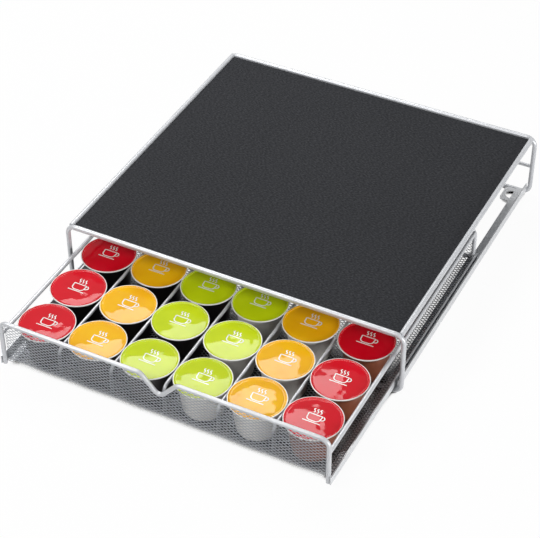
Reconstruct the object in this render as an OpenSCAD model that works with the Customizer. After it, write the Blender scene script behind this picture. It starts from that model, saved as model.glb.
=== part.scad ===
// Wire coffee pod drawer: a wire housing with a padded steel top, and a mesh-floored drawer
// that slides out of it on two angle runners. The drawer has six lanes, parted by wire hoops.
// Millimetres, +Z up, drawer front towards -Y. The origin is on the table, in the middle of
// the whole footprint, with the drawer drawn out as modelled.

/* [Pods] */
// Diameter of a pod's lid, which sets the lanes and with them the whole drawer
pod_d = 52.4; // [50:0.1:55]
// Gap between two neighbouring lids, and between a lid and the side wires
pod_gap = 0.3; // [0.2:0.1:0.8]
// Height of a pod, lid included
pod_h = 34; // [31:0.5:37]
// Rows of pods that stand in the drawer, counted from the front
filled_rows = 3; // [1:1:6]

/* [Housing] */
// Diameter of the housing's wire
housing_wire = 4.5; // [4:0.25:5.5]
// Bend radius of the housing's loops, at the centre of the wire
housing_bend = 9; // [8:0.5:11]
// Distance from the front loop to the rear loop
housing_d = 322; // [320:1:345]
// Clear height between the drawer's front and the tray above it
head_room = 8; // [5.5:0.5:16]
// Height of the rear wire that the drawer stops against
stop_h = 35; // [20:1:37]
// Diameter of that stop wire
stop_wire = 3.5; // [3:0.25:4.5]

/* [Top] */
// Thickness of the tray's steel sheet
tray_t = 1; // [0.8:0.1:1.4]
// Depth of the tray's side flanges below its plate
flange_h = 6.5; // [4:0.5:8]
// Depth of the tray's front and rear lips below its plate
lip_h = 4; // [2:0.5:4.5]
// Thickness of the anti-slip mat
mat_t = 1.75; // [1.25:0.25:2]

/* [Guides] */
// Sheet thickness of the guides and of the drawer's runners
angle_t = 1.2; // [1:0.1:1.4]
// Height of a guide's wall
guide_h = 9; // [7:0.5:12]
// Width of a guide's shelf, wall included
shelf_w = 10; // [9:0.5:12]
// Gap under a runner, where it slides on the shelf
slide_gap = 0.3; // [0.2:0.05:0.6]
// Gap beside a runner, between it and the guide's wall
side_play = 2.2; // [1:0.1:2.6]

/* [Drawer] */
// How far the drawer's front stands out from the housing
drawn_out = 128.9; // [60:0.1:180]
// Diameter of the front wire
front_wire = 4.2; // [3.6:0.1:4.6]
// Diameter of the rear loop's and side wires
side_wire = 4; // [3:0.1:4.4]
// Diameter of the divider hoops' wire
divider_wire = 3; // [2:0.25:3.5]
// Height of the front, from the runners' underside to the centre of its top wire
front_h = 49; // [44:0.5:58]
// Height of a runner
runner_h = 8.3; // [7:0.1:10]
// Depth of the finger notch in the front
notch_depth = 17.5; // [14:0.5:20]

/* [Mesh] */
// Thickness of the expanded metal
mesh_t = 0.8; // [0.6:0.1:1.2]
// Width of one diamond
cell_w = 24.8; // [24:0.2:50]
// Height of one diamond
cell_h = 13.6; // [13:0.2:25]
// Width of the strands between the diamonds
strand = 2; // [1.6:0.2:4]

/* [Hidden] */
$fn = 48;
LANES = 6;
ROWS = 6;
pitch = pod_d + pod_gap;

// heights, from the table up
guide_z = housing_wire;
shelf_top = guide_z + angle_t;
runner_z = shelf_top + slide_gap;
floor_z = runner_z + angle_t;
floor_top = floor_z + mesh_t;
lid_top = floor_top + pod_h;
front_top_z = runner_z + front_h;
tray_z = front_top_z + front_wire / 2 + head_room;
plate_top = tray_z + tray_t;
top_wire_z = plate_top + housing_wire / 2;
rim_top = top_wire_z;

// drawer, across and lengthways
front_bend = 8;
rear_bend = 8;
side_x = LANES * pitch / 2 + pod_gap + side_wire / 2;
runner_in = side_x + front_wire / 2;
runner_out = runner_in + angle_t;
runner_w = 8.7;
lid_t = 0.5;
lid_bead = 1.6;
lid_sink = 0.4;
lid_crown = 0.35;
lid_flange_t = 0.8;
flange_z = lid_top - lid_t - lid_flange_t;
side_wire_drop = 0.8;
side_wire_z = lid_top - side_wire_drop;
rear_rise = 0.8;
rear_top_z = lid_top + rear_rise + side_wire / 2;
clear = 0.3;
divider_z = flange_z - clear - divider_wire / 2;
divider_bend = 7;
front_room = 3.6;
rear_room = 1.4;
drawer_d = ROWS * pitch + front_room + rear_room;

// housing, across
guide_in = runner_out + side_play;
guide_out = guide_in + angle_t;
post_gap = 0.55;
post_x = guide_out + post_gap + housing_wire / 2;
rail_in = 3.5;
rail_x = post_x - rail_in;
rim_t = 1.3;
rim_out = rail_x - housing_wire / 2;
mat_ease = 0.1;

// how far a welded end stops short of the other wire's centre
weld = 1;

// lengthways places, measured from the middle of the footprint
footprint = housing_d + housing_wire / 2 + drawn_out + front_wire / 2;
front_y = front_wire / 2 - footprint / 2;
housing_y = front_y + drawn_out;
housing_rear_y = housing_y + housing_d;
rear_y = front_y + drawer_d;
mesh_y = front_y + front_wire / 2;
panel_half_w = side_x - side_wire / 2;
fold_r = 3;
panel_border = 4;
floor_border = 1.5;
notch_border = 4;
tray_ease = 0.05;
tray_edge = housing_wire / 2 + tray_ease;

// Finger notch, at the centre of the wire. The slope's sine and cosine are whole fractions,
// 11753 and 10296 over 15625, so that each bend ends exactly where the next length starts.
notch_slope = atan2(11753, 10296);
notch_r = 6;
notch_side = (notch_depth - 2 * notch_r * (1 - cos(notch_slope))) / sin(notch_slope);
notch_half = 2 * notch_r * sin(notch_slope) + notch_side * cos(notch_slope);

// lug under the rear end of each guide
lug_t = 1.2;
lug_w = 10.5;
lug_len = 22;
lug_y = housing_rear_y - 24.5;
lug_hole_d = 12.8;
lug_hole_in = 0.7;

// pod
cup_flange_r = pod_d / 2 - 0.3;
cup_top_r = pod_d / 2 - 3.2;
cup_bottom_r = pod_d / 2 - 7.6;
cup_chamfer = 0.8;
cup_h = flange_z - floor_top;
cup_step = 0.5;
cup_neck = 2.5;

steel = [0.78, 0.79, 0.8];
mat_black = [0.2, 0.2, 0.21];
lid_colours = ["crimson", "gold", "yellowgreen", "yellowgreen", "gold", "crimson"];
cup_colours = ["black", "black", "black", "whitesmoke", "whitesmoke", "saddlebrown"];

// ---- wire ----

// A wire bent in its own XY plane. It sets out along +X, and each move is a straight length
// followed by a bend: [length, angle turned to the left, bend radius].
module bent_wire(d, moves, i = 0) {
    bend_lap = 0.0001;
    if (i < len(moves)) {
        run = moves[i][0];
        turn = moves[i][1];
        radius = moves[i][2];
        side = turn < 0 ? -1 : 1;
        if (run > 0) rotate([0, 90, 0]) cylinder(d = d, h = run);
        translate([run, 0, 0]) {
            if (turn != 0)
                translate([0, side * radius, 0])
                    rotate([0, 0, turn < 0 ? 90 + turn : -90])
                        rotate_extrude(angle = abs(turn) + bend_lap)
                            translate([radius, 0]) circle(d = d);
            translate([0, side * radius, 0]) rotate([0, 0, turn]) translate([0, -side * radius, 0])
                bent_wire(d, moves, i + 1);
        }
    }
}

// A closed loop of wire standing across the drawer, with its centre line from z0 to z1.
module wire_loop(d, half_w, z0, z1, radius) {
    across = [2 * (half_w - radius), 90, radius];
    up = [z1 - z0 - 2 * radius, 90, radius];
    translate([radius - half_w, 0, z0]) rotate([90, 0, 0])
        bent_wire(d, [across, up, across, up]);
}

// ---- housing ----

module housing_loop(y) {
    color(steel) translate([0, y, 0])
        wire_loop(housing_wire, post_x, housing_wire / 2, top_wire_z, housing_bend);
}

module housing_front_loop() {
    housing_loop(housing_y);
}

module housing_rear_loop() {
    housing_loop(housing_rear_y);
}

module top_rail(side) {
    color(steel) translate([side * rail_x, housing_y + weld, top_wire_z])
        rotate([-90, 0, 0]) cylinder(d = housing_wire, h = housing_d - 2 * weld);
}

module rear_stop_wire() {
    color(steel) translate([-post_x, housing_rear_y, stop_h])
        rotate([0, 90, 0]) cylinder(d = stop_wire, h = 2 * post_x);
}

// An angle section open towards the drawer, with a lug under its rear end.
module guide(side) {
    run_y = housing_y + weld;
    run = housing_d - 2 * weld;
    color(steel) mirror([side < 0 ? 1 : 0, 0, 0]) {
        translate([guide_in, run_y, guide_z]) cube([angle_t, run, guide_h]);
        translate([guide_out - shelf_w, run_y, guide_z]) cube([shelf_w, run, angle_t]);
        difference() {
            translate([guide_out - shelf_w, lug_y, guide_z - lug_t]) lug();
            translate([guide_out - shelf_w - lug_hole_in, lug_y + lug_len / 2, 0])
                cylinder(d = lug_hole_d, h = 2 * guide_z);
        }
    }
}

// A tongue with its two inner corners rounded.
module lug() {
    corner = 4;
    translate([corner - lug_w, 0, 0]) cube([lug_w, lug_len, lug_t]);
    translate([-lug_w, corner, 0]) cube([lug_w, lug_len - 2 * corner, lug_t]);
    for (y = [corner, lug_len - corner])
        translate([corner - lug_w, y, 0]) cylinder(r = corner, h = lug_t);
}

// A plate with a raised rim round the mat, a flange down each side, and a shallower lip down
// its front and rear edges.
module top_tray() {
    y0 = housing_y + tray_edge;
    run = housing_d - 2 * tray_edge;
    color(steel) {
        translate([-guide_out, y0, tray_z]) cube([2 * guide_out, run, tray_t]);
        translate([0, y0, tray_z]) difference() {
            translate([-rim_out, 0, 0]) cube([2 * rim_out, run, rim_top - tray_z]);
            translate([rim_t - rim_out, rim_t, tray_t])
                cube([2 * (rim_out - rim_t), run - 2 * rim_t, rim_top]);
        }
        for (x = [-guide_out, guide_out - tray_t])
            translate([x, y0, tray_z - flange_h]) cube([tray_t, run, flange_h + tray_t]);
        for (y = [y0, y0 + run - tray_t])
            translate([-guide_out, y, tray_z - lip_h]) cube([2 * guide_out, tray_t, lip_h + tray_t]);
    }
}

module top_mat() {
    edge = tray_edge + rim_t + mat_ease;
    half_w = rim_out - rim_t - mat_ease;
    color(mat_black) translate([-half_w, housing_y + edge, plate_top])
        cube([2 * half_w, housing_d - 2 * edge, mat_t]);
}

// ---- drawer frame ----

// One wire: up the left post, along the top with a dip for the fingers, down the right post.
module drawer_front_wire() {
    post = [front_h - front_bend, -90, front_bend];
    top = side_x - front_bend - notch_half;
    color(steel) translate([-side_x, front_y, runner_z]) rotate([90, 0, 0]) rotate([0, 0, 90])
        bent_wire(front_wire, [
            post,
            [top, -notch_slope, notch_r],
            [notch_side, notch_slope, notch_r],
            [0, notch_slope, notch_r],
            [notch_side, -notch_slope, notch_r],
            [top, -90, front_bend],
            [front_h - front_bend, 0, 0]
        ]);
}

module drawer_rear_loop() {
    color(steel) translate([0, rear_y, 0])
        wire_loop(side_wire, side_x, floor_top + side_wire / 2, rear_top_z, rear_bend);
}

module drawer_side_wire(side) {
    color(steel) translate([side * side_x, front_y + weld, side_wire_z])
        rotate([-90, 0, 0]) cylinder(d = side_wire, h = drawer_d - 2 * weld);
}

// An angle whose flange carries the floor and slides on the guide's shelf.
module runner(side) {
    y0 = front_y - front_wire / 2;
    y1 = rear_y + side_wire / 2 + mesh_t;
    flange_y = mesh_y + mesh_t;
    color(steel) mirror([side < 0 ? 1 : 0, 0, 0]) {
        translate([runner_in, y0, runner_z]) cube([angle_t, y1 - y0, runner_h]);
        translate([runner_out - runner_w, flange_y, runner_z])
            cube([runner_w, y1 - flange_y, angle_t]);
    }
}

// A hoop that parts two lanes: a long wire with both ends bent down to the floor.
module divider(n) {
    leg = divider_z - floor_top - divider_bend;
    foot_y = mesh_y + mesh_t + fold_r + divider_wire / 2;
    run = rear_y - side_wire / 2 - divider_wire / 2 - clear - foot_y;
    color(steel) translate([(n - LANES / 2) * pitch, foot_y, floor_top])
        rotate([90, 0, 90]) rotate([0, 0, 90])
            bent_wire(divider_wire, [
                [leg, -90, divider_bend],
                [run - 2 * divider_bend, -90, divider_bend],
                [leg, 0, 0]
            ]);
}

// ---- mesh ----

// Rows of diamonds, every other row moved by half a diamond, cut off at a border inside a
// field w by h. The field stands on the X axis, centred across it.
module diamonds(w, h, border) {
    half_h = cell_h / 2;
    rows = ceil(h / half_h) + 1;
    intersection() {
        translate([border - w / 2, border]) square([w - 2 * border, h - 2 * border]);
        for (j = [0 : rows - 1]) {
            count = ceil(w / cell_w) + 1 - j % 2;
            for (i = [0 : count - 1])
                translate([(i - (count - 1) / 2) * cell_w, j * half_h]) diamond();
        }
    }
}

module diamond() {
    a = cell_w / 2 - strand;
    b = cell_h / 2 - strand / 2;
    polygon([[-a, 0], [0, -b], [a, 0], [0, b]]);
}

function arc(x, z, r, from, to, steps = 6) =
    [for (k = [0 : steps]) let (t = from + (to - from) * k / steps) [x + r * cos(t), z + r * sin(t)]];

// The front's outline, along the centre of its wire, from the fold up.
function front_outline(z0) = concat(
    [[-side_x, z0]],
    arc(front_bend - side_x, front_top_z - front_bend, front_bend, 180, 90),
    arc(-notch_half, front_top_z - notch_r, notch_r, 90, 90 - notch_slope),
    arc(0, front_top_z - notch_depth + notch_r, notch_r, 270 - notch_slope, 270 + notch_slope),
    arc(notch_half, front_top_z - notch_r, notch_r, 90 + notch_slope, 90),
    arc(side_x - front_bend, front_top_z - front_bend, front_bend, 90, 0),
    [[side_x, z0]]
);

// The front panel, welded behind the front wire, with its lower edge folded under.
module front_mesh() {
    z0 = floor_z + fold_r + mesh_t;
    panel_h = front_top_z - z0;
    dip_half = notch_half + notch_border;
    dip_h = notch_depth + front_wire / 2 + notch_border;
    color(steel) {
        translate([0, mesh_y + mesh_t, 0]) rotate([90, 0, 0]) linear_extrude(mesh_t)
            difference() {
                intersection() {
                    polygon(front_outline(z0));
                    translate([-panel_half_w, z0]) square([2 * panel_half_w, panel_h]);
                }
                difference() {
                    translate([0, z0]) diamonds(2 * panel_half_w, panel_h, panel_border);
                    translate([-dip_half, front_top_z - dip_h]) square([2 * dip_half, dip_h]);
                }
            }
        translate([-panel_half_w, mesh_y + mesh_t + fold_r, z0]) rotate([90, 0, 90])
            linear_extrude(2 * panel_half_w)
                intersection() {
                    difference() {
                        circle(r = fold_r + mesh_t);
                        circle(r = fold_r);
                    }
                    translate([-fold_r - mesh_t, -fold_r - mesh_t]) square(fold_r + mesh_t);
                }
    }
}

module floor_mesh() {
    y0 = mesh_y + mesh_t + fold_r;
    run = rear_y + side_wire / 2 - y0;
    color(steel) translate([0, y0, floor_z]) linear_extrude(mesh_t)
        difference() {
            translate([-runner_in, 0]) square([2 * runner_in, run]);
            diamonds(2 * (runner_out - runner_w), run, floor_border);
        }
}

module rear_mesh() {
    panel_h = rear_top_z - floor_z;
    color(steel) translate([0, rear_y + side_wire / 2 + mesh_t, floor_z])
        rotate([90, 0, 0]) linear_extrude(mesh_t)
            difference() {
                polygon(concat(
                    [[-side_x, 0]],
                    arc(rear_bend - side_x, panel_h - rear_bend, rear_bend, 180, 90),
                    arc(side_x - rear_bend, panel_h - rear_bend, rear_bend, 90, 0),
                    [[side_x, 0]]
                ));
                diamonds(2 * side_x, panel_h, panel_border);
            }
}

// ---- pods ----

// The pods of one lane, drawn as children standing on the floor.
module lane(n) {
    for (row = [0 : filled_rows - 1])
        translate([(n - (LANES + 1) / 2) * pitch, front_y + front_room + (row + 0.5) * pitch, floor_top])
            children();
}

module pod_cups(n) {
    color(cup_colours[n - 1]) lane(n) rotate_extrude()
        polygon([
            [0, 0], [cup_bottom_r - cup_chamfer, 0], [cup_bottom_r, cup_chamfer],
            [cup_top_r - cup_step, cup_h - cup_neck], [cup_top_r, cup_h - cup_neck],
            [cup_top_r, cup_h], [cup_flange_r, cup_h], [cup_flange_r, cup_h + lid_flange_t],
            [0, cup_h + lid_flange_t]
        ]);
}

module pod_lids(n) {
    bead_in = pod_d / 2 - lid_bead;
    color(lid_colours[n - 1]) lane(n) translate([0, 0, pod_h - lid_t]) rotate_extrude()
        polygon([
            [0, 0], [pod_d / 2, 0], [pod_d / 2, lid_t],
            [bead_in, lid_t], [bead_in - lid_sink, lid_t - lid_sink],
            [bead_in / 2, lid_t - lid_sink + 0.75 * lid_crown], [0, lid_t - lid_sink + lid_crown]
        ]);
}

housing_front_loop();
housing_rear_loop();
top_rail(-1);  // top_rail_left
top_rail(1);  // top_rail_right
rear_stop_wire();
guide(-1);  // guide_left
guide(1);  // guide_right
top_tray();
top_mat();
drawer_front_wire();
drawer_rear_loop();
drawer_side_wire(-1);  // side_wire_left
drawer_side_wire(1);  // side_wire_right
runner(-1);  // runner_left
runner(1);  // runner_right
front_mesh();
floor_mesh();
rear_mesh();
divider(1);  // divider_1
divider(2);  // divider_2
divider(3);  // divider_3
divider(4);  // divider_4
divider(5);  // divider_5
pod_cups(1);  // pod_cups_lane_1
pod_cups(2);  // pod_cups_lane_2
pod_cups(3);  // pod_cups_lane_3
pod_cups(4);  // pod_cups_lane_4
pod_cups(5);  // pod_cups_lane_5
pod_cups(6);  // pod_cups_lane_6
pod_lids(1);  // pod_lids_lane_1
pod_lids(2);  // pod_lids_lane_2
pod_lids(3);  // pod_lids_lane_3
pod_lids(4);  // pod_lids_lane_4
pod_lids(5);  // pod_lids_lane_5
pod_lids(6);  // pod_lids_lane_6
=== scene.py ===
"""Looks for the coffee pod drawer: fine expanded metal, coated wire, mat and pods.
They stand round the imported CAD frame. Shapes are worked out in mm and made in metres."""
import math
from itertools import product

import bpy
import numpy as np
from mathutils import Matrix, Vector


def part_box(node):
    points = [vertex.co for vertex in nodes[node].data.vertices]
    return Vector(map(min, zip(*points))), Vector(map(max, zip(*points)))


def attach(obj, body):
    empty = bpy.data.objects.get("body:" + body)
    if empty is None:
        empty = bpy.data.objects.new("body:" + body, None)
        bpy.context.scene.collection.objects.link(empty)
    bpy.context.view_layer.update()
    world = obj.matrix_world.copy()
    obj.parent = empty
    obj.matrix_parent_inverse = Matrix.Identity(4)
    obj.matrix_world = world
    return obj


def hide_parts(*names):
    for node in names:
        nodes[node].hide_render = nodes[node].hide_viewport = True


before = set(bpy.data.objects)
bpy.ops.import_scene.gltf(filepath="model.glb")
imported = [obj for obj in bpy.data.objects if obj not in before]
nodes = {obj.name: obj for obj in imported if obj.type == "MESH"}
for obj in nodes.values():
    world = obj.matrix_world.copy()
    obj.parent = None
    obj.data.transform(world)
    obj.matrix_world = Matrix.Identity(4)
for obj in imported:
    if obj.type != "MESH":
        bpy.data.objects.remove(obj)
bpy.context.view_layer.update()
MM = 0.001

# ---------------------------------------------------------------- camera, fitted to the photograph
YAW, PITCH, ROLL = (math.radians(a) for a in (27.55, 41.11, -0.46))
FOCAL_PX, CENTRE_PX = 1697.4, (258.29, 293.22)
PHOTO_W, PHOTO_H = 540, 538
CAMERA_AT = Vector((0.55430, -1.103885, 1.05395))
SENSOR = 36
NEAR, FAR = 0.05, 20

forward = Vector((-math.sin(YAW) * math.cos(PITCH), math.cos(YAW) * math.cos(PITCH),
                  -math.sin(PITCH)))
level = Vector((math.cos(YAW), math.sin(YAW), 0))
raised = level.cross(forward)
right = level * math.cos(ROLL) + raised * math.sin(ROLL)
upward = raised * math.cos(ROLL) - level * math.sin(ROLL)
camera = bpy.data.objects.new("camera", bpy.data.cameras.new("camera"))
bpy.context.scene.collection.objects.link(camera)
axes = Matrix((right, upward, -forward)).transposed().to_4x4()
camera.matrix_world = Matrix.Translation(CAMERA_AT) @ axes
camera.data.sensor_fit = "HORIZONTAL"
camera.data.sensor_width = SENSOR
camera.data.lens = FOCAL_PX * SENSOR / PHOTO_W
camera.data.shift_x = (PHOTO_W / 2 - CENTRE_PX[0]) / PHOTO_W
camera.data.shift_y = (CENTRE_PX[1] - PHOTO_H / 2) / PHOTO_W
camera.data.clip_start, camera.data.clip_end = NEAR, FAR
bpy.context.scene.camera = camera


# ---------------------------------------------------------------- node helpers
class Shader:
    """A material's node tree, with short calls for its nodes. Lengths in it are in metres."""

    def __init__(self, name):
        self.material = bpy.data.materials.new(name)
        self.material.use_nodes = True
        self.tree = self.material.node_tree
        self.tree.nodes.clear()
        self.out = self.tree.nodes.new("ShaderNodeOutputMaterial")
        self.coords = self.tree.nodes.new("ShaderNodeTexCoord").outputs["Object"]

    def node(self, kind, inputs=None, **settings):
        made = self.tree.nodes.new("ShaderNode" + kind)
        for key, value in settings.items():
            setattr(made, key, value)
        for key, value in (inputs or {}).items():
            if isinstance(value, bpy.types.NodeSocket):
                self.tree.links.new(value, made.inputs[key])
            else:
                made.inputs[key].default_value = value
        return made

    def scaled(self, scale, turn):
        inputs = {"Vector": self.coords, "Scale": scale, "Rotation": turn}
        return self.node("Mapping", inputs).outputs[0]

    def noise(self, scale, detail=3, rough=0.5, vector=None):
        inputs = {"Vector": vector or self.coords, "Scale": scale,
                  "Detail": detail, "Roughness": rough}
        return self.node("TexNoise", inputs).outputs["Fac"]

    def ramp(self, value, *stops):
        """A colour ramp with two stops, each a place and a colour."""
        made = self.node("ValToRGB", {"Fac": value})
        for end, (place, colour) in zip(made.color_ramp.elements, stops):
            end.position = place
            end.color = (*colour, 1)
        return made.outputs[0]

    def remap(self, value, low, high, to_low=0.0, to_high=1.0):
        inputs = {"Value": value, "From Min": low, "From Max": high,
                  "To Min": to_low, "To Max": to_high}
        return self.node("MapRange", inputs).outputs[0]

    def math(self, operation, a, b):
        return self.node("Math", {0: a, 1: b}, operation=operation).outputs[0]

    def mix(self, factor, a, b, mode="MIX"):
        """Mixes two colours, each a socket or three numbers."""
        inputs = {0: factor}
        for key, colour in ((6, a), (7, b)):
            inputs[key] = colour if isinstance(colour, bpy.types.NodeSocket) else (*colour, 1)
        return self.node("Mix", inputs, data_type="RGBA", blend_type=mode).outputs[2]

    def bump(self, height, depth):
        return self.node("Bump", {"Height": height, "Distance": depth}).outputs[0]

    def surface(self, **inputs):
        named = {key.replace("_", " "): value for key, value in inputs.items()}
        shader = self.node("BsdfPrincipled", named)
        self.tree.links.new(shader.outputs[0], self.out.inputs[0])
        return self.material


# ---------------------------------------------------------------- materials
# the dividers' legs are painted dark below LEG_TOP, as painted shade among the pods
LEG_TOP, LEG_FADE = 0.038, 0.006
LEG_PAINTED_SHADE = (0.12, 0.125, 0.135)


def coated_steel(name, light, dark, metallic, rough, legs_below=None):
    """Silver powder coat: a fine orange-peel surface, with small changes of tone along it.
    Below legs_below, in metres, its colour is painted dark: painted shade on the dividers' legs."""
    s = Shader(name)
    tone = s.ramp(s.noise(45, 4, 0.6), (0.3, dark), (0.7, light))
    if legs_below:
        # painted shade: the colour darkens below legs_below
        height = s.node("SeparateXYZ", {0: s.coords}).outputs["Z"]
        tone = s.mix(s.remap(height, legs_below - LEG_FADE, legs_below), LEG_PAINTED_SHADE, tone)
    speckle = s.ramp(s.noise(1700, 2), (0.35, (0.93, 0.93, 0.935)), (0.65, (1, 1, 1)))
    base = s.mix(0.7, tone, speckle, "MULTIPLY")
    peel = s.bump(s.noise(1200, 2), 0.00002)
    gloss = s.remap(s.noise(300, 3), 0.0, 1.0, rough - 0.05, rough + 0.06)
    return s.surface(Base_Color=base, Metallic=metallic, Roughness=gloss, Normal=peel)


def mat_rubber():
    """Charcoal anti-slip mat with a fine grain of short diagonal ridges."""
    s = Shader("mat_rubber")
    grain = []
    for turn in (0.62, -0.62):
        stretched = s.scaled((430, 900, 1), (0, 0, turn))
        grain.append(s.noise(1.0, 2, 0.4, stretched))
    ridges = s.math("MULTIPLY", *grain)
    base = s.ramp(ridges, (0.12, (0.012, 0.013, 0.015)), (0.42, (0.046, 0.047, 0.052)))
    cloud = s.ramp(s.noise(9, 3), (0.3, (0.80, 0.80, 0.81)), (0.7, (1, 1, 1)))
    base = s.mix(0.5, base, cloud, "MULTIPLY")
    rough = s.remap(ridges, 0.0, 1.0, 0.75, 0.6)
    return s.surface(Base_Color=base, Roughness=rough, Normal=s.bump(ridges, 0.0003),
                     Specular_IOR_Level=0.1)


def lid_foil(name, deep, bright):
    """Printed foil under a clear glossy skin, slightly uneven where it is sealed."""
    s = Shader(name)
    base = s.ramp(s.noise(38, 2), (0.3, deep), (0.7, bright))
    waves = s.noise(62, 1, 0.4)
    grain = s.noise(900, 2)
    height = s.math("ADD", waves, s.math("MULTIPLY", grain, 0.012))
    normal = s.bump(height, 0.0006)
    return s.surface(Base_Color=base, Roughness=0.5, Normal=normal, Specular_IOR_Level=0.05,
                     Coat_Weight=0.3, Coat_Roughness=0.03, Coat_Normal=normal)


def cup_plastic(name, light, dark, rough=0.35):
    """Thin moulded plastic with a faint flow pattern."""
    s = Shader(name)
    base = s.ramp(s.noise(60, 3), (0.3, dark), (0.7, light))
    normal = s.bump(s.noise(420, 2), 0.00005)
    return s.surface(Base_Color=base, Roughness=rough, Normal=normal)


WIRE_COAT = {"light": (0.59, 0.60, 0.62), "dark": (0.52, 0.53, 0.55),
             "metallic": 0.28, "rough": 0.34}
STEEL = coated_steel("coated_wire", **WIRE_COAT)
DIVIDER = coated_steel("coated_divider", **WIRE_COAT, legs_below=LEG_TOP)
SHEET = coated_steel("coated_sheet", (0.66, 0.67, 0.685), (0.58, 0.59, 0.605), 0.25, 0.38)
MESH = coated_steel("coated_mesh", (0.42, 0.437, 0.465), (0.33, 0.347, 0.375), 0.3, 0.3)
# the same coat painted darker for the drawer's floor: painted shade under the pods
SHADED_FLOOR_MESH = coated_steel("coated_mesh_floor_painted_shade", (0.25, 0.26, 0.28), (0.18, 0.19, 0.21), 0.3, 0.34)
MAT = mat_rubber()
LIDS = {
    "red": lid_foil("lid_red", (0.58, 0.000, 0.008), (0.66, 0.001, 0.014)),
    "yellow": lid_foil("lid_yellow", (0.84, 0.40, 0.002), (0.90, 0.50, 0.003)),
    "lime": lid_foil("lid_lime", (0.50, 0.62, 0.002), (0.58, 0.70, 0.004)),
}
CUPS = {
    "black": cup_plastic("cup_black", (0.008, 0.005, 0.005), (0.004, 0.003, 0.003), 0.42),
    "white": cup_plastic("cup_white", (0.74, 0.72, 0.68), (0.66, 0.64, 0.60)),
    "brown": cup_plastic("cup_brown", (0.20, 0.060, 0.028), (0.14, 0.040, 0.018)),
}
RIM = cup_plastic("pod_rim", (0.80, 0.79, 0.77), (0.70, 0.69, 0.66), 0.3)
PRINT = cup_plastic("lid_print", (0.86, 0.85, 0.82), (0.78, 0.77, 0.74), 0.25)


def dress(names, material):
    """Gives carried-over CAD nodes their material."""
    for name in names:
        data = nodes[name].data
        data.materials.clear()
        data.materials.append(material)


WIRES = ["housing_front_loop", "housing_rear_loop", "top_rail_left", "top_rail_right",
         "rear_stop_wire", "drawer_front_wire", "drawer_rear_loop", "side_wire_left",
         "side_wire_right"]
dress(WIRES, STEEL)
dress([f"divider_{n}" for n in range(1, 6)], DIVIDER)
dress(["guide_left", "guide_right", "runner_left", "runner_right"], SHEET)


def piece(name, points, faces, materials, slots=None, smooth=False):
    """A mesh object from points in metres and faces by index. slots is each face's material."""
    mesh = bpy.data.meshes.new(name)
    mesh.from_pydata([tuple(p) for p in points], [], [tuple(int(i) for i in f) for f in faces])
    for material in materials:
        mesh.materials.append(material)
    if slots is not None:
        mesh.polygons.foreach_set("material_index", np.asarray(slots, dtype=np.int32))
    if smooth:
        mesh.polygons.foreach_set("use_smooth", np.ones(len(mesh.polygons), dtype=bool))
    mesh.update()
    made = bpy.data.objects.new(name, mesh)
    bpy.context.scene.collection.objects.link(made)
    return made


# ---------------------------------------------------------------- sizes, from the CAD nodes, mm
def span(name):
    """A node's lowest and highest corners."""
    low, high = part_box(name)
    return np.array(low) / MM, np.array(high) / MM


wire_hi = span("drawer_front_wire")[1]
front_lo, front_hi = span("front_mesh")
floor_lo, floor_hi = span("floor_mesh")
rear_lo, rear_hi = span("rear_mesh")
FRONT_WIRE = 4.2
SHEET_T = 0.8
FOLD_R = 3.0
BEND_R = 8.0
NOTCH_R = 6.0
NOTCH_DEPTH = 17.5
NOTCH_SLOPE = math.atan2(11753, 10296)  # as in part.scad, about 48.8 degrees
front_top = wire_hi[2] - FRONT_WIRE / 2
side_x = wire_hi[0] - FRONT_WIRE / 2
notch_run = (NOTCH_DEPTH - 2 * NOTCH_R * (1 - math.cos(NOTCH_SLOPE))) / math.sin(NOTCH_SLOPE)
notch_half = 2 * NOTCH_R * math.sin(NOTCH_SLOPE) + notch_run * math.cos(NOTCH_SLOPE)


# ---------------------------------------------------------------- expanded metal, mm
CELL_W, CELL_H = 6.2, 3.4  # one diamond, from strand to strand
STRAND = 0.42
FLOOR_STRAND = 0.8
BOND = 0.1  # extra metal at each end of a diamond
GAUGE = 0.18
TILT = 0.1  # how far a hole's top and bottom lean out of the sheet
HOLE_EASE = 0.35  # metal that is kept between a hole and the sheet's edge
TOP_SLACK = 0.2  # how far above the top edge a diamond's middle may lie


def notch_drop(x):
    """How far the front wire's centre dips below its top at x."""
    x = abs(x)
    if x >= notch_half:
        return 0.0
    bend = NOTCH_R * math.sin(NOTCH_SLOPE)
    if x <= bend:
        return NOTCH_DEPTH - (NOTCH_R - math.sqrt(NOTCH_R ** 2 - x ** 2))
    if x >= notch_half - bend:
        return NOTCH_R - math.sqrt(NOTCH_R ** 2 - (notch_half - x) ** 2)
    low = NOTCH_DEPTH - NOTCH_R * (1 - math.cos(NOTCH_SLOPE))
    return low - (x - bend) * math.tan(NOTCH_SLOPE)


def corner_drop(x, half, radius):
    """How far a rounded top corner falls below the top at x."""
    over = abs(x) - (half - radius)
    return radius - math.sqrt(max(radius ** 2 - over ** 2, 0)) if over > 0 else 0.0


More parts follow.
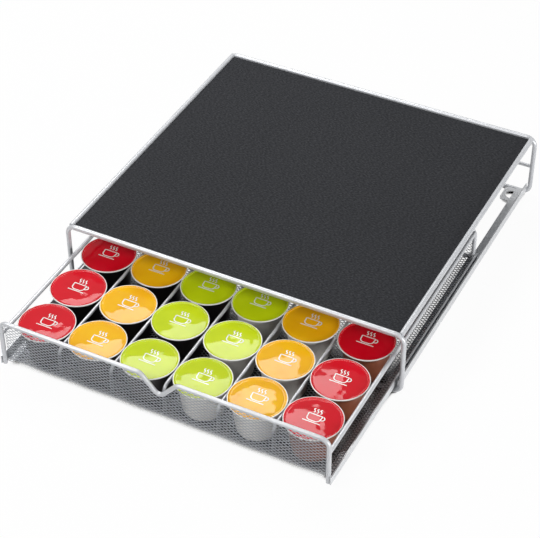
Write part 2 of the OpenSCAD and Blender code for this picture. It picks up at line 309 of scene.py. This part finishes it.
def expanded(name, length, top, half_width, place, shaded_from=math.inf):
    """Expanded metal. s runs down the sheet from 0 to length, top(x) is where it starts at x,
    half_width(s) is its edge, and place(x, s, out) puts a point of it into space, in mm.
    From shaded_from on it has the floor's wider strands and its darker coat, painted shade."""
    slope = math.atan2(CELL_H, CELL_W)
    points, index, faces, slots = [], {}, [], []

    def vertex(x, s, tilt, inner):
        ease = HOLE_EASE if inner else 0
        edge = half_width(s) - ease
        x = max(-edge, min(edge, x))
        s = max(top(x) + ease, min(length - ease, s))
        key = (round(x, 3), round(s, 3), inner)
        if key not in index:
            index[key] = len(points)
            points.append(place(x, s, tilt + GAUGE / 2))
            points.append(place(x, s, tilt - GAUGE / 2))
        return index[key]

    widest = max(half_width(0), half_width(length))
    columns = int(widest / (CELL_W / 2)) + 2
    rows = int(length / (CELL_H / 2)) + 2
    for b in range(rows):
        for a in range(-columns, columns + 1):
            if (a + b) % 2:
                continue
            x, s = a * CELL_W / 2, b * CELL_H / 2
            if abs(x) > half_width(s) or s < top(x) - TOP_SLACK or s > length:
                continue
            strand = FLOOR_STRAND if s > shaded_from else STRAND
            hole_x = CELL_W / 2 - strand / 2 / math.sin(slope) - BOND
            hole_s = CELL_H / 2 - strand / 2 / math.cos(slope)
            outer = [vertex(x - CELL_W / 2, s, 0, False), vertex(x, s - CELL_H / 2, 0, False),
                     vertex(x + CELL_W / 2, s, 0, False), vertex(x, s + CELL_H / 2, 0, False)]
            inner = [vertex(x - hole_x, s, 0, True), vertex(x, s - hole_s, TILT, True),
                     vertex(x + hole_x, s, 0, True), vertex(x, s + hole_s, -TILT, True)]
            for k in range(4):
                o0, o1, i0, i1 = outer[k], outer[(k + 1) % 4], inner[k], inner[(k + 1) % 4]
                if len({o0, o1, i0, i1}) < 4:
                    continue
                faces.append((o0, o1, i1, i0))
                faces.append((o1 + 1, o0 + 1, i0 + 1, i1 + 1))
                faces.append((i0, i1, i1 + 1, i0 + 1))
                slots += [int(s > shaded_from)] * 3
    return piece(name, np.array(points) * MM, faces, [MESH, SHADED_FLOOR_MESH], slots)


# front panel, fold and floor are one sheet
FLOOR_MARGIN = 0.1
mid_y = front_lo[1] + SHEET_T / 2
fold_mid = FOLD_R + SHEET_T / 2
fold_y = mid_y + fold_mid
fold_z = floor_lo[2] + SHEET_T + FOLD_R
drop_len = front_top - fold_z
arc_len = fold_mid * math.pi / 2
sheet_len = drop_len + arc_len + floor_hi[1] - fold_y
FRONT_HALF = front_hi[0]
FLOOR_HALF = floor_hi[0] - FLOOR_MARGIN


def front_and_floor(x, s, out):
    """Down the front panel, round the fold, and back along the floor."""
    if s < drop_len:
        return x, mid_y - out, front_top - s
    if s < drop_len + arc_len:
        turn = (s - drop_len) / fold_mid
        reach = fold_mid + out
        return x, fold_y - reach * math.cos(turn), fold_z - reach * math.sin(turn)
    return x, fold_y + s - drop_len - arc_len, fold_z - fold_mid - out


drawer_sheet = expanded(
    "drawer_sheet", sheet_len,
    lambda x: notch_drop(x) + corner_drop(x, side_x, BEND_R),
    lambda s: FRONT_HALF if s < drop_len + arc_len else FLOOR_HALF,
    front_and_floor, shaded_from=drop_len + arc_len)
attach(drawer_sheet, "drawer")
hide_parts("front_mesh", "floor_mesh")

rear_mid = (rear_lo[1] + rear_hi[1]) / 2
rear_sheet = expanded(
    "rear_sheet", rear_hi[2] - rear_lo[2],
    lambda x: corner_drop(x, rear_hi[0], BEND_R),
    lambda s: rear_hi[0],
    lambda x, s, out: (x, rear_mid - out, rear_hi[2] - s))
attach(rear_sheet, "drawer")
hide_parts("rear_mesh")


# ---------------------------------------------------------------- top, mm
FLANGE = 1.5
LIP = 3.0
EDGE = 1.0
MAT_GAP = 0.1
MAT_CORNER = 1.5
MAT_BEVEL = 0.35
tray_lo, tray_hi = span("top_tray")
mat_lo, mat_hi = span("top_mat")
rail_inner = span("top_rail_right")[0][0]


def pan(name, xs, ys, zs, solid, material):
    """A closed solid on a grid of boxes. solid(i, j, k) says which of them it fills."""
    cells = product(range(len(xs) - 1), range(len(ys) - 1), range(len(zs) - 1))
    filled = {cell for cell in cells if solid(*cell)}
    points, index, faces = [], {}, []

    def corner(place):
        if place not in index:
            index[place] = len(points)
            points.append((xs[place[0]], ys[place[1]], zs[place[2]]))
        return index[place]

    for box in sorted(filled):
        for axis in range(3):
            for side in (0, 1):
                beyond = list(box)
                beyond[axis] += 2 * side - 1
                if tuple(beyond) in filled:
                    continue
                u, v = (axis + 1) % 3, (axis + 2) % 3
                loop = []
                for du, dv in ((0, 0), (1, 0), (1, 1), (0, 1)):
                    at = list(box)
                    at[axis] += side
                    at[u] += du
                    at[v] += dv
                    loop.append(corner(tuple(at)))
                faces.append(loop if side else loop[::-1])
    return piece(name, np.array(points) * MM, faces, [material])


# a plate with a flange down each side, and a deeper lip at the front and rear
plate_lo = mat_lo[2] - EDGE
tray = pan("tray_sheet",
           [tray_lo[0], tray_lo[0] + EDGE, tray_hi[0] - EDGE, tray_hi[0]],
           [tray_lo[1], tray_lo[1] + EDGE, tray_hi[1] - EDGE, tray_hi[1]],
           [plate_lo - LIP, plate_lo - FLANGE, plate_lo, mat_lo[2]],
           lambda i, j, k: k == 2 or j != 1 or (i != 1 and k == 1), SHEET)
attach(tray, "housing")
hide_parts("top_tray")


def rounded(half_x, low_y, high_y, radius, steps=6):
    """The outline of a rectangle with rounded corners."""
    outline = []
    for cx, cy, start in ((half_x, high_y, 0), (-half_x, high_y, 90),
                          (-half_x, low_y, 180), (half_x, low_y, 270)):
        mx = cx - math.copysign(radius, cx)
        my = cy - radius if start < 180 else cy + radius
        for k in range(steps + 1):
            a = math.radians(start + 90 * k / steps)
            outline.append((mx + radius * math.cos(a), my + radius * math.sin(a)))
    return outline


mat_points, mat_faces = [], []
mat_half = rail_inner - MAT_GAP
for inset, z in ((0, mat_lo[2]), (0, mat_hi[2] - MAT_BEVEL), (MAT_BEVEL, mat_hi[2])):
    mat_points += [(x, y, z) for x, y in rounded(
        mat_half - inset, tray_lo[1] + MAT_GAP + inset,
        tray_hi[1] - MAT_GAP - inset, MAT_CORNER - inset)]
ring = len(mat_points) // 3
for j in (0, 1):
    for k in range(ring):
        a, b = j * ring + k, j * ring + (k + 1) % ring
        mat_faces.append((a, b, b + ring, a + ring))
mat_faces += [tuple(reversed(range(ring))), tuple(range(2 * ring, 3 * ring))]
mat = piece("mat_sheet", np.array(mat_points) * MM, mat_faces, [MAT])
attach(mat, "housing")
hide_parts("top_mat")


# ---------------------------------------------------------------- pods, mm
SIDES = 72
PODS = 3
LANES = {1: ("red", "black"), 2: ("yellow", "black"), 3: ("lime", "black"),
         4: ("lime", "white"), 5: ("yellow", "white"), 6: ("red", "brown")}
# Profiles give a radius, a height and the number of a material: for a cup 0 is its body and
# 1 its flange, and for a lid 0 is the foil, 1 the rim and 2 the print.
CUP_FLANGE = 0.8
CUP_FOOT = ((17.6, 0, 0), (18.3, 0.25, 0), (18.6, 0.9, 0), (18.8, 1.8, 0))  # over the cup's base
CUP_NECK = ((22.4, -3.2, 0), (22.6, -2.5, 0), (22.95, -2.3, 0), (23.0, -0.1, 0), (23.4, 0, 1),
            (25.7, 0, 1), (25.95, 0.2, 1), (25.95, 0.6, 1), (25.7, 0.8, 1), (24.7, 0.8, 1),
            (24.3, 0.1, 1))  # over the flange's underside
LID_EDGE = ((24.1, -1.15, 1), (24.3, -0.6, 1), (26.0, -0.45, 1), (26.18, -0.3, 1),
            (26.15, -0.12, 1), (25.95, -0.02, 1), (25.7, 0, 1), (25.35, 0, 1), (25.0, -0.02, 0),
            (24.6, -0.16, 0), (24.25, -0.7, 0), (23.9, -0.95, 0), (23.5, -0.97, 0),
            (22.5, -0.9, 0))  # over the lid's top
CROWN_R, CROWN_TOP, CROWN_H = 22.5, 0.05, 0.85
CROWN_RINGS = (20, 17, 14, 11, 8, 5, 2.5, 1)
PRINT_SLOT = 2
PRINT_LIFT = 0.02


def revolve(profile, points, faces, slots):
    """Adds a form turned about the Z axis. The profile is (radius, z, material number of the
    band that ends there)."""
    first = len(points)
    for radius, z, _ in profile:
        for k in range(SIDES):
            a = 2 * math.pi * k / SIDES
            points.append((radius * math.cos(a), radius * math.sin(a), z))
    for j in range(1, len(profile)):
        for k in range(SIDES):
            a, b = first + (j - 1) * SIDES + k, first + (j - 1) * SIDES + (k + 1) % SIDES
            faces.append((a, b, b + SIDES, a + SIDES))
            slots.append(profile[j][2])
    for ring, number, flip in ((0, profile[0][2], True), (len(profile) - 1, profile[-1][2], False)):
        loop = [first + ring * SIDES + k for k in range(SIDES)]
        faces.append(tuple(reversed(loop)) if flip else tuple(loop))
        slots.append(number)


def stroke(path, width, z, points, faces, slots):
    """Adds a flat printed line of that width along a path."""
    first = len(points)
    path = [Vector(p) for p in path]
    for k, p in enumerate(path):
        along = (path[min(k + 1, len(path) - 1)] - path[max(k - 1, 0)]).normalized()
        side = Vector((-along.y, along.x)) * width / 2
        points.append((p.x + side.x, p.y + side.y, z))
        points.append((p.x - side.x, p.y - side.y, z))
    for k in range(len(path) - 1):
        a = first + 2 * k
        faces.append((a, a + 1, a + 3, a + 2))
        slots.append(PRINT_SLOT)


def curl(cx, cy, rx, ry, start, end, steps=14):
    """Points along part of an ellipse, angles in degrees."""
    turns = [math.radians(start + (end - start) * k / steps) for k in range(steps + 1)]
    return [(cx + rx * math.cos(t), cy + ry * math.sin(t)) for t in turns]


# a plain cup with steam, as a generic print for the lids: brim, bowl, handle, saucer and steam
ICON = [
    [(-6.4, 2.6), (0, 2.6), (6.4, 2.6)],
    [(-6.4, 2.6)] + curl(-2.4, -1.6, 3.6, 3.6, 180, 270)
    + curl(2.4, -1.6, 3.6, 3.6, 270, 360) + [(6.4, 2.6)],
    curl(6.6, 0.2, 2.5, 2.3, 80, -95),
    [(-8.2, -6.9), (0, -6.9), (8.2, -6.9)],
] + [[(x + 0.9 * math.sin(y * 1.25), 4.6 + y) for y in np.linspace(0, 5, 12)] for x in (-3, 0, 3)]
ICON_LINE = 0.95
ICON_UP = 2.0

# where each lane's three pods stand off their even places, and how far they lean
NUDGES = {1: ((0, -0.5), (-0.3, 0.2), (0, 1.0)), 2: ((-0.3, 0.3), (-0.6, 1.0), (-0.3, 3.5)),
          3: ((-0.3, 0.3), (-0.9, 3.0), (-0.6, 3.0)), 4: ((0, 0), (0.2, 1.3), (-0.8, 4.0)),
          5: ((0, -0.5), (-0.1, 0), (-1.0, 0.2)), 6: ((0.2, -0.5), (0.2, -0.6), (0.3, 1.5))}
LEAN = math.radians(0.35)
leans = np.random.default_rng(5)

for lane, (lid_colour, cup_colour) in LANES.items():
    base_z = span(f"pod_cups_lane_{lane}")[0][2]
    lid_lo, lid_hi = span(f"pod_lids_lane_{lane}")
    pod_r = (lid_hi[0] - lid_lo[0]) / 2
    lane_x = (lid_hi[0] + lid_lo[0]) / 2
    step = (lid_hi[1] - lid_lo[1] - 2 * pod_r) / (PODS - 1)
    top_z = lid_hi[2]
    flange_z = lid_lo[2] - CUP_FLANGE
    cup = [(r, base_z + h, number) for r, h, number in CUP_FOOT]
    cup += [(r, flange_z + h, number) for r, h, number in CUP_NECK]
    lid = [(r, top_z + h, number) for r, h, number in LID_EDGE]
    lid += [(r, top_z - CROWN_TOP - CROWN_H * (r / CROWN_R) ** 2, 0) for r in CROWN_RINGS]
    cup_points, cup_faces, cup_slots = [], [], []
    lid_points, lid_faces, lid_slots = [], [], []
    for row in range(PODS):
        turn = (Matrix.Rotation(leans.normal(0, LEAN), 4, "X")
                @ Matrix.Rotation(leans.normal(0, LEAN), 4, "Y"))
        nudge = NUDGES[lane][row]
        stand = Vector((lane_x + nudge[0], lid_lo[1] + pod_r + row * step + nudge[1], top_z))
        for profile, points, faces, slots in ((cup, cup_points, cup_faces, cup_slots),
                                              (lid, lid_points, lid_faces, lid_slots)):
            first = len(points)
            revolve([(r, h - top_z, number) for r, h, number in profile], points, faces, slots)
            if profile is lid:
                for line in ICON:
                    shifted = [(x, y + ICON_UP) for x, y in line]
                    stroke(shifted, ICON_LINE, PRINT_LIFT, points, faces, slots)
            points[first:] = [turn @ Vector(p) + stand for p in points[first:]]
    cups = piece(f"cups_lane_{lane}", np.array(cup_points) * MM, cup_faces,
                 [CUPS[cup_colour], RIM], cup_slots, smooth=True)
    lids = piece(f"lids_lane_{lane}", np.array(lid_points) * MM, lid_faces,
                 [LIDS[lid_colour], RIM, PRINT], lid_slots, smooth=True)
    for made, kind, colour in ((cups, "cup", cup_colour), (lids, "lid", lid_colour)):
        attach(made, "drawer")
        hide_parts(f"pod_{kind}s_lane_{lane}")


# ---------------------------------------------------------------- stage and light
STAGE_HALF = 6.0
AO_REACH, AO_SAMPLES = 0.055, 32
AO_SHADED, AO_OPEN = 0.23, 0.35  # share of open directions under the object and beside it
# painted shade: the floor's tone under the object, and its tone in the open
SHADED_TONE, OPEN_TONE = (0.015, 0.015, 0.015), (0.85, 0.85, 0.85)
OPEN_WHITE = 0.96  # the rest of the open floor is lit, and carries the shadow
WHITE = 1.0
AMBIENT_TONE, AMBIENT = (0.95, 0.97, 1.0), 0.12


def seen(tree):
    """1 for rays that show the background: from the camera, or by way of metal or glass."""
    path = tree.nodes.new("ShaderNodeLightPath").outputs
    shown = path["Is Camera Ray"]
    for ray in ("Is Glossy Ray", "Is Transmission Ray"):
        either = tree.nodes.new("ShaderNodeMath")
        either.operation = "MAXIMUM"
        tree.links.new(shown, either.inputs[0])
        tree.links.new(path[ray], either.inputs[1])
        shown = either.outputs[0]
    return shown


def floor_material():
    """Pale floor, painted dark as shade where the object closes it in from above. In the open, the
    rays that show the background find it white, with a faint shadow."""
    s = Shader("floor")
    clear = s.node("AmbientOcclusion", {"Distance": AO_REACH}, samples=AO_SAMPLES).outputs["AO"]
    outside = s.remap(clear, AO_SHADED, AO_OPEN)
    share = s.math("MULTIPLY", s.math("MULTIPLY", seen(s.tree), outside), OPEN_WHITE)
    tone = s.mix(outside, SHADED_TONE, OPEN_TONE)
    lit = s.node("BsdfDiffuse", {"Color": tone}).outputs[0]
    white = s.node("Emission", {"Color": (1, 1, 1, 1), "Strength": WHITE}).outputs[0]
    mixed = s.node("MixShader", {0: share, 1: lit, 2: white}).outputs[0]
    s.tree.links.new(mixed, s.out.inputs[0])
    return s.material


floor = piece("floor", [(-STAGE_HALF, -STAGE_HALF, 0), (STAGE_HALF, -STAGE_HALF, 0),
                        (STAGE_HALF, STAGE_HALF, 0), (-STAGE_HALF, STAGE_HALF, 0)],
              [(0, 1, 2, 3)], [floor_material()])

world = bpy.data.worlds.new("world")
bpy.context.scene.world = world
world.use_nodes = True
tree = world.node_tree
tree.nodes.clear()


def background(colour, strength):
    made = tree.nodes.new("ShaderNodeBackground")
    made.inputs[0].default_value = (*colour, 1)
    made.inputs[1].default_value = strength
    return made.outputs[0]


blend = tree.nodes.new("ShaderNodeMixShader")
tree.links.new(seen(tree), blend.inputs[0])
tree.links.new(background(AMBIENT_TONE, AMBIENT), blend.inputs[1])
tree.links.new(background((1, 1, 1), WHITE), blend.inputs[2])
tree.links.new(blend.outputs[0], tree.nodes.new("ShaderNodeOutputWorld").inputs[0])


def softbox(name, at, aim, size, power):
    """A rectangular lamp at one point, turned to another. Its size is in metres."""
    lamp = bpy.data.lights.new(name, "AREA")
    lamp.shape, lamp.size, lamp.size_y = "RECTANGLE", size[0], size[1]
    lamp.energy = power
    made = bpy.data.objects.new(name, lamp)
    bpy.context.scene.collection.objects.link(made)
    made.location = at
    made.rotation_mode = "QUATERNION"
    made.rotation_quaternion = (Vector(aim) - Vector(at)).to_track_quat("-Z", "Y")


softbox("key", (-0.56, 0.58, 1.15), (0, -0.12, 0.04), (0.75, 0.36), 11)
softbox("left", (-0.75, -1.1, 1.25), (0, -0.1, 0.04), (1.0, 0.8), 17)
softbox("right", (1.6, -0.45, 0.33), (0, -0.05, 0.03), (0.9, 0.4), 20)

scene = bpy.context.scene
scene.view_settings.view_transform = "Standard"
